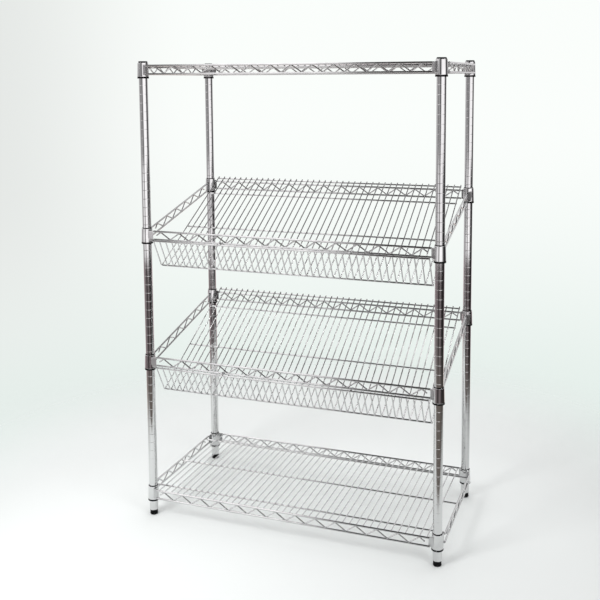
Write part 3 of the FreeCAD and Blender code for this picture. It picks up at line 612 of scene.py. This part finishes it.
for shelf in shelves:
    reach = trussLook["reach" if shelf.endswith("shelf") else "slantReach"]
    climb = math.atan2(levelAt(shelf, 1) - levelAt(shelf, -1), 2 * halfY)
    for side in ("front", "rear", "left", "right"):
        axis, along, tilt = (0, rightwards, 0.0) if side in ("front", "rear") else (1, backwards, climb)
        low, high, middle = nodeBox(f"{shelf}_{side}_truss")
        half = (high[axis] - low[axis]) / 2 + reach
        shells = trussShells(half, middle, along, tilt, math.tan(tilt))
        makePiece([f"{shelf}_{side}_truss"], shells, "wire_chrome")
print("trusses")


# decks

deckLook = {
    "wire": 1.7, "pitch": 20.0, "reach": 1.2, "bow": 0.35, "bowRows": 7, "seed": 11, "columns": 10,
    "rod": 2.4, "rodColumns": 14, "weld": (2.3, 3.0, 1.0), "edgeWeld": (2.6, 1.2, 1.9), "edgeOut": 0.4,
}


def bowed(start, end, sideways, rows, amounts):
    # straight wires with a slight bow: each leaves its line by amount times half a sine
    share = np.linspace(0, 1, rows)[None, :, None]
    path = start[:, None] + (end - start)[:, None] * share
    return path + sideways * np.sin(np.pi * share) * amounts[:, None, None]


def wirePlaces(low, high, pitch):
    count = int(round((high - low) / pitch)) + 1
    return np.linspace(low, high, count)


for shelf in ("bottom_shelf", "top_shelf"):
    randomness = np.random.default_rng(deckLook["seed"])
    low, high, middle = nodeBox(shelf + "_wires")
    radius = deckLook["wire"]
    places = wirePlaces(low[0] + radius, high[0] - radius, deckLook["pitch"])
    start = np.stack((places, np.full(len(places), low[1] - deckLook["reach"]),
                      np.full(len(places), middle[2])), -1)
    end = start * (1, -1, 1)
    amounts = randomness.normal(0, deckLook["bow"], len(places))
    path = bowed(start, end, rightwards, deckLook["bowRows"], amounts)
    shells = [wire(path, rightwards, radius, deckLook["columns"])]
    rodLow, rodHigh, rodMiddle = nodeBox(shelf + "_rods")
    rows = (rodLow[1] + deckLook["rod"], rodMiddle[1], rodHigh[1] - deckLook["rod"])
    contact = rodMiddle[2] + deckLook["rod"]
    spots = [(x, y, contact) for x in places for y in rows]
    shells.append(beads(spots, deckLook["weld"]))
    edge = high[1] + deckLook["edgeOut"]
    shells.append(beads([(x, y, middle[2]) for x in places for y in (-edge, edge)], deckLook["edgeWeld"]))
    makePiece([shelf + "_wires"], shells, "wire_chrome")
    rods = []
    for y in rows:
        path = np.array([(rodLow[0], y, rodMiddle[2]), (rodHigh[0], y, rodMiddle[2])])
        rods.append(wire(path, backwards, deckLook["rod"], deckLook["rodColumns"]))
    makePiece([shelf + "_rods"], rods, "wire_chrome")
print("decks")


# baskets

basketLook = {
    "wire": 1.7, "pitch": 20.0, "columns": 10, "overrun": 16.0, "lipForward": 14.1, "lipDrop": 2.1,
    "bendInset": 34.5, "bendDrop": 77.6, "bend": 5.0, "guard": 1.5, "bendRows": 9,
    "chord": 2.8, "lowerChord": 7.0, "upperChord": 31.0,
    "rod": 2.4, "rodColumns": 14, "bendRodRun": 6.3, "lowerRod": 0.421, "upperRod": 0.806, "endRod": 4.6,
    "weld": (2.4, 3.0, 1.0), "lipWeld": (2.3, 1.6, 1.9),
}


def basketFrame(look=basketLook):
    # the floor's tilt and length, and the lip's length and its angle to the floor
    deep = 2 * halfY - look["bendInset"]
    rise = basketRise + look["upperChord"] + look["bendDrop"]
    tilt = math.atan2(rise, deep) + math.asin((look["chord"] + look["wire"]) / math.hypot(deep, rise))
    lipDeep = look["lipForward"] + look["bendInset"]
    lipRise = look["lowerChord"] - look["lipDrop"] + look["bendDrop"]
    offset = look["wire"] + look["rod"]
    lip = math.sqrt(lipDeep ** 2 + lipRise ** 2 - offset ** 2)
    angle = math.pi - math.atan2(lipRise, lipDeep) - math.atan2(offset, lip) - tilt
    return tilt, (deep + look["overrun"]) / math.cos(tilt), lip, angle


def inBasket(along, off, x, height, look=basketLook):
    # a point along the floor from the bend and off it, in the rack's own directions
    tilt = basketFrame(look)[0]
    along, off, x = np.broadcast_arrays(along, off, x)
    y = look["bendInset"] - halfY + along * math.cos(tilt) - off * math.sin(tilt)
    z = height - look["bendDrop"] + along * math.sin(tilt) + off * math.cos(tilt)
    return np.stack((x, y, z), -1)


# each wire comes down the floor, turns through an arc of radius bend and goes up the lip; a point on
# the straight each side of the arc keeps the long runs straight
for shelf in ("lower_basket", "upper_basket"):
    height = levelAt(shelf, -1)
    tilt, floorLength, lipLength, angle = basketFrame()
    low, high, _ = nodeBox(shelf + "_floor_wires")
    places = wirePlaces(low[0] + basketLook["wire"], high[0] - basketLook["wire"], basketLook["pitch"])
    bend = basketLook["bend"]
    run = bend / math.tan(angle / 2)
    turn = np.linspace(0, math.pi - angle, basketLook["bendRows"])
    floorEnd = run + basketLook["guard"]
    lip = np.array([floorEnd, lipLength])
    along = np.concatenate(([floorLength, floorEnd], run - bend * np.sin(turn), lip * math.cos(angle)))
    off = np.concatenate(([0.0, 0.0], bend - bend * np.cos(turn), lip * math.sin(angle)))
    path = inBasket(along[None], off[None], places[:, None], height)
    shells = [wire(path, rightwards, basketLook["wire"], basketLook["columns"])]
    under = -(basketLook["wire"] + basketLook["rod"])
    rodPlaces = np.array([basketLook["bendRodRun"], basketLook["lowerRod"] * floorLength,
                          basketLook["upperRod"] * floorLength, floorLength - basketLook["endRod"]])
    spots = inBasket(rodPlaces[None], -basketLook["wire"], places[:, None], height)
    shells.append(beads(spots, basketLook["weld"]))
    lipRod = nodeBox(shelf + "_lip_rod")[2]
    tips = inBasket(along[-1], off[-1], places, height)
    besideTips = lipRod * (0, 1, 1) + places[:, None] * rightwards
    shells.append(beads((tips + besideTips) / 2, basketLook["lipWeld"]))
    makePiece([shelf + "_floor_wires", shelf + "_lip_wires"], shells, "wire_chrome",
              pieceName(shelf + "_wires"))
    ends = inBasket(rodPlaces[:, None], under, np.array([low[0], high[0]])[None], height)
    upFloor = np.array([0, math.cos(tilt), math.sin(tilt)])
    rods = wire(ends, upFloor, basketLook["rod"], basketLook["rodColumns"])
    makePiece([shelf + "_rods"], [rods], "wire_chrome")
    ends = np.array([lipRod, lipRod])
    ends[:, 0] = low[0], high[0]
    rod = wire(ends, backwards, basketLook["rod"], basketLook["rodColumns"])
    makePiece([shelf + "_lip_rod"], [rod], "wire_chrome")

clipLook = {
    "width": 9.0, "thickness": 2.0, "wrap": 65.0, "place": 195.0,
    "arcRows": 6, "power": 0.3, "columns": 20,
}


def clipShell(x, chord, rod, look=clipLook):
    # a flat strip bent over the truss's lower wire and the lip rod: an arc on each and a straight run
    # between them
    half = look["thickness"] / 2
    lean = math.atan2(chord[2] - rod[2], chord[1] - rod[1])
    back = np.radians(np.linspace(-look["wrap"], 0, look["arcRows"])) + lean
    front = np.radians(np.linspace(0, look["wrap"], look["arcRows"])) + lean
    chordRadius, rodRadius = basketLook["chord"] + half, basketLook["rod"] + half
    first = np.stack((chord[1] - chordRadius * np.sin(back), chord[2] + chordRadius * np.cos(back)), -1)
    second = np.stack((rod[1] - rodRadius * np.sin(front), rod[2] + rodRadius * np.cos(front)), -1)
    path = np.concatenate((first, second))
    path = np.concatenate((np.full((len(path), 1), x), path), 1)
    path, full = cutEnds(path, half)
    return loft(path, rightwards, look["width"] / 2, half, full, look["power"], look["columns"])


for shelf in ("lower_basket", "upper_basket"):
    chord = nodeBox(shelf + "_front_truss")[2] - upwards * trussLook["spacing"] / 2
    rod = nodeBox(shelf + "_lip_rod")[2]
    shells = [clipShell(side * clipLook["place"], chord, rod) for side in (-1, 1)]
    makePiece([shelf + "_clips"], shells, "wire_chrome")
print("baskets")

# the hidden screws and bushes keep the frame's own meshes and only take a finish
for name, node in frame["nodes"].items():
    isStud = name.startswith("foot_stud")
    if isStud or name == "foot_bushes":
        node.data.materials.clear()
        node.data.materials.append(finishes["stud_steel" if isStud else "bush_plastic"])


# stage: a round of pale paper on the floor, a pale surround, and what the plating mirrors

stageLook = {
    "paperRadius": 2.6, "paperSides": 64, "paper": (0.868, 0.889, 0.882), "fibre": 0.985, "fibreScale": 3,
    # painted shade: the paper's colour darkens towards one side, standing in for the lamps' falloff
    # across the floor
    "shade": 0.27, "paintedShadeWay": (0.8, -0.45, 0), "paintedShadeRange": (-0.2, 1.15),
    # painted shade: the paper's colour darkens away from a lit spot, leaving a painted pool of light
    # round it
    "dim": 0.1, "litSpot": (0.15, -0.5, 0), "paintedDimRange": (0.72, 1.2),
    "fadeRange": (0.82, 1.65), "frontWay": (0.36, -0.93, 0), "frontRange": (0.6, 0.84),
    "lowest": (0.745, 0.835, 0.795), "highest": (0.962, 0.99, 0.968), "surroundSlope": (-0.48, -0.04),
    "edge": 0.815, "edgeBearing": (0.075, 0.115), "edgeSlope": (-0.45, -0.1), "diffuse": 0.72,
}


def makeFloor(look=stageLook):
    # the paper has painted shade in its colour: it darkens towards one side and away from a lit spot, as
    # the lamps' falloff would, and it goes over into the surround far from the rack and in front of it
    sides = look["paperSides"]
    turn = 2 * np.pi * np.arange(sides) / sides
    mesh = bpy.data.meshes.new("floorPaper")
    points = np.stack((np.cos(turn), np.sin(turn), np.zeros(sides)), -1) * look["paperRadius"]
    mesh.from_pydata(points, [], [list(range(sides))])
    material = bpy.data.materials.new("paperRound")
    flow = newTree(material)
    place = flow.node("ShaderNodeTexCoord", output=3)

    def measure(operation, other=(0, 0, 0)):
        return flow.node("ShaderNodeVectorMath", {"operation": operation}, {0: place, 1: other}, 1)

    fibre = addNoise(flow, place, look["fibreScale"], 2)
    colour = fibre.blend(grey(1, look["paper"]), grey(look["fibre"], look["paper"]))
    # painted shade: the paper's colour darkens towards one side, as light falling off across the floor
    # would
    shade = measure("DOT_PRODUCT", look["paintedShadeWay"]).rise(*look["paintedShadeRange"])
    colour = shade.blend(colour, grey(1 - look["shade"], look["paper"]))
    # painted shade: the paper's colour darkens away from a lit spot, as a pool of light would leave it
    dim = measure("DISTANCE", look["litSpot"]).rise(*look["paintedDimRange"]) * look["dim"]
    colour = dim.blend(colour, grey(0))
    paper = flow.node("ShaderNodeBsdfDiffuse", {}, {"Color": colour})
    clear = flow.node("ShaderNodeBsdfTransparent")
    far = measure("LENGTH").rise(*look["fadeRange"])
    fade = flow.math("MAXIMUM", far, measure("DOT_PRODUCT", look["frontWay"]).rise(*look["frontRange"]))
    shader = flow.node("ShaderNodeMixShader", {}, {0: fade, 1: paper, 2: clear})
    flow.node("ShaderNodeOutputMaterial", {}, {"Surface": shader})
    mesh.materials.append(material)
    floor = bpy.data.objects.new("floorPaper", mesh)
    bpy.context.scene.collection.objects.link(floor)


# in each band, every pair is a bearing and a tone: the bearing is 0 to the front and 90 to the right.
# The ranges below the bands are of a direction: across and depth are its parts to the right and to the
# rear, and slope is its part upwards over the length of its level part
roomLook = {
    "level": ((-180, 0.8), (-125, 0.75), (-100, 0.6), (-65, 0.46), (-55, 0.25), (-42, 0.25), (-34, 0.6),
              (-22, 0.5), (-16, 0.08), (-4, 0.08), (4, 0.5), (13, 0.8), (22, 1.45), (76, 1.45),
              (90, 0.75), (102, 0.09), (140, 0.09), (152, 0.8), (180, 0.8)),
    "lower": ((-180, 0.8), (-125, 0.8), (-100, 0.62), (-75, 0.46), (-58, 0.46), (-50, 1.1), (-20, 1.1),
              (-13, 0.24), (-3, 0.24), (6, 1.45), (46, 1.45), (58, 0.75), (70, 0.4), (80, 0.04),
              (140, 0.04), (152, 0.7), (180, 0.8)),
    "floor": ((-180, 0.8), (-125, 0.7), (-100, 0.36), (-60, 0.22), (-28, 0.18), (-17, 0.05), (-4, 0.05),
              (8, 0.1), (22, 0.2), (38, 0.2), (52, 0.07), (70, 0.025), (140, 0.02), (152, 0.8),
              (180, 0.8)),
    "near": ((-180, 0.8), (-125, 0.7), (-100, 0.4), (-60, 0.24), (-28, 0.16), (45, 0.15), (80, 0.1),
             (140, 0.05), (152, 0.8), (180, 0.8)),
    "tint": (1, 0.975, 0.985), "floorTint": (1.12, 0.93, 0.96), "nearTint": (1.12, 0.97, 0.87),
    "ceiling": 0.04, "panel": 1.8, "panelAcross": ((-0.50, -0.44), (-0.335, -0.28)),
    "rear": 1.1, "rearDepth": (0.55, 0.75), "dull": 0.85, "dullAcross": ((-0.30, -0.25), (-0.17, -0.12)),
    "leftAcross": (-0.72, -0.78), "sideAcross": (-0.68, -0.75), "sideSlope": ((0.05, 0.1), (0.3, 0.16)),
    "nearAcross": (-0.19, -0.14), "nearDepth": (-0.47, -0.55), "nearSlope": (-0.5, -0.56),
    "levelSlope": (-0.11, -0.08), "lowerSlope": (-0.213, -0.198), "floorSlope": (-0.38, -0.3),
    "aboveSlope": (0.16, 0.3),
}


def makeWorld(look=roomLook, stage=stageLook):
    # the camera sees a pale surround; the plating sees a room of light walls with dark gaps, a dark floor
    # and a dark ceiling. A long bright panel crosses the ceiling to the left of the rack, the ceiling's
    # rear is light but for a dull gap, the far left is bright from low down, and two patches of the
    # floor close in front are as bright as the panel
    world = bpy.data.worlds.new("studio")
    bpy.context.scene.world = world
    flow = newTree(world)
    way = flow.node("ShaderNodeTexCoord", output=0)
    across, depth, height = (flow.node("ShaderNodeSeparateXYZ", {}, {0: way}, axis) for axis in range(3))
    level = flow.math("SQRT", across * across + depth * depth)
    slope = height / flow.math("MAXIMUM", level, 0.001)
    # bearing goes once from 0 to 1 over a whole turn and is half-way to the front
    bearing = flow.math("ARCTAN2", across, depth * -1) * (0.5 / math.pi) + 0.5

    def band(name, tint="tint"):
        return bearing.ramp(*(((angle + 180) / 360, grey(tone, look[tint]))
                              for angle, tone in look[name]))

    shine = grey(look["panel"], look["tint"])
    panel = across.between(*look["panelAcross"])
    above = panel.blend(grey(look["ceiling"], look["tint"]), shine)
    dull = across.between(*look["dullAcross"]) * look["dull"]
    above = (depth.rise(*look["rearDepth"]) * (1 - dull)).blend(above, grey(look["rear"]))
    above = across.rise(*look["leftAcross"]).blend(above, shine)
    near = across.rise(*look["nearAcross"]) * depth.rise(*look["nearDepth"])
    inFront = flow.math("LESS_THAN", depth, 0)
    below = (panel * inFront + near) * slope.rise(*look["nearSlope"])
    floor = slope.rise(*look["floorSlope"]).blend(band("near", "nearTint"), band("floor", "floorTint"))
    room = slope.rise(*look["levelSlope"]).blend(band("lower"), band("level"))
    room = slope.rise(*look["lowerSlope"]).blend(below.blend(floor, shine), room)
    room = slope.rise(*look["aboveSlope"]).blend(room, above)
    low, high = look["sideSlope"]
    side = across.rise(*look["sideAcross"]) * slope.rise(*low) * slope.rise(*high)
    room = side.blend(room, shine)
    seen = slope.rise(*stage["surroundSlope"]).blend(grey(1, stage["lowest"]), grey(1, stage["highest"]))
    edge = bearing.rise(*stage["edgeBearing"]) * slope.rise(*stage["edgeSlope"])
    seen = edge.blend(seen, grey(stage["edge"], stage["highest"]))
    paths = flow.node("ShaderNodeLightPath")
    rays = paths.socket.node.outputs
    isCamera, isGlossy, isThrough = (Flow(flow.tree, rays[name]) for name in
                                     ("Is Camera Ray", "Is Glossy Ray", "Is Transmission Ray"))
    mirrored = flow.math("MINIMUM", isGlossy + isThrough, 1)
    colour = isCamera.blend(mirrored.blend(grey(stage["diffuse"]), room), seen)
    shader = flow.node("ShaderNodeBackground", {}, {"Color": colour, "Strength": 1})
    flow.node("ShaderNodeOutputWorld", {}, {"Surface": shader})


# the lamps with an aim light the floor and everything that is not plating; each strip faces down, is
# turned about the upright axis and shows in the plating alone
lampLook = {
    "key": {"place": (-1.15, -2.35, 2.75), "aim": (0, 0, 0.6), "size": (0.9, 0.9), "power": 44},
    "fill": {"place": (2.6, -1.6, 1.9), "aim": (0, 0, 0.6), "size": (1.4, 1.4), "power": 20},
    "top": {"place": (0.1, 0.4, 3.4), "aim": (0, 0, 0), "size": (2.2, 2.2), "power": 29},
    "rearStrip": {"place": (1.9, 1.14, 4.0), "size": (1.4, 0.24), "turn": 15, "power": 10},
    "middleStrip": {"place": (2.05, 0.66, 4.0), "size": (1.6, 0.24), "turn": 15, "power": 7.5},
}


def makeLamps(look=lampLook):
    for name, lamp in look.items():
        light = bpy.data.lights.new(name, "AREA")
        light.shape = "RECTANGLE"
        light.size, light.size_y = lamp["size"]
        light.energy = lamp["power"]
        holder = bpy.data.objects.new(name, light)
        holder.visible_camera = False
        holder.visible_glossy = "turn" in lamp
        holder.visible_diffuse = "aim" in lamp
        holder.location = lamp["place"]
        if "aim" in lamp:
            towards = Vector(lamp["aim"]) - holder.location
            holder.rotation_euler = towards.to_track_quat("-Z", "Y").to_euler()
        else:
            holder.rotation_euler[2] = math.radians(lamp["turn"])
        bpy.context.scene.collection.objects.link(holder)


# place is in millimetres, the three turns are radians, and focus, centre and picture are pixels
cameraLook = {
    "place": (894.26, -2423.68, 1309.48), "pitch": -0.10132, "yaw": -0.34313, "roll": -0.00517,
    "focus": 872.12, "centre": (319.21, 168.29), "picture": 600, "sensor": 36.0, "clipEnd": 100,
}


def makeCamera(look=cameraLook):
    # forward from yaw and pitch; right lies level and is rolled with up about forward
    yaw, pitch, roll = look["yaw"], look["pitch"], look["roll"]
    forward = Vector((math.sin(yaw) * math.cos(pitch), math.cos(yaw) * math.cos(pitch), math.sin(pitch)))
    right = Vector((math.cos(yaw), -math.sin(yaw), 0))
    up = right.cross(forward)
    right, up = (right * math.cos(roll) + up * math.sin(roll),
                 up * math.cos(roll) - right * math.sin(roll))
    data = bpy.data.cameras.new("camera")
    data.sensor_width = look["sensor"]
    data.lens = look["focus"] / look["picture"] * look["sensor"]
    data.shift_x = (look["picture"] / 2 - look["centre"][0]) / look["picture"]
    data.shift_y = (look["centre"][1] - look["picture"] / 2) / look["picture"]
    data.clip_end = look["clipEnd"]
    camera = bpy.data.objects.new("camera", data)
    facing = Matrix((right, up, -forward)).transposed().to_4x4()
    camera.matrix_world = Matrix.Translation(Vector(look["place"]) * mm) @ facing
    bpy.context.scene.collection.objects.link(camera)
    bpy.context.scene.camera = camera


makeFloor()
makeWorld()
makeLamps()
makeCamera()
bpy.context.scene.view_settings.view_transform = "Standard"
print("stage, lamps and camera")
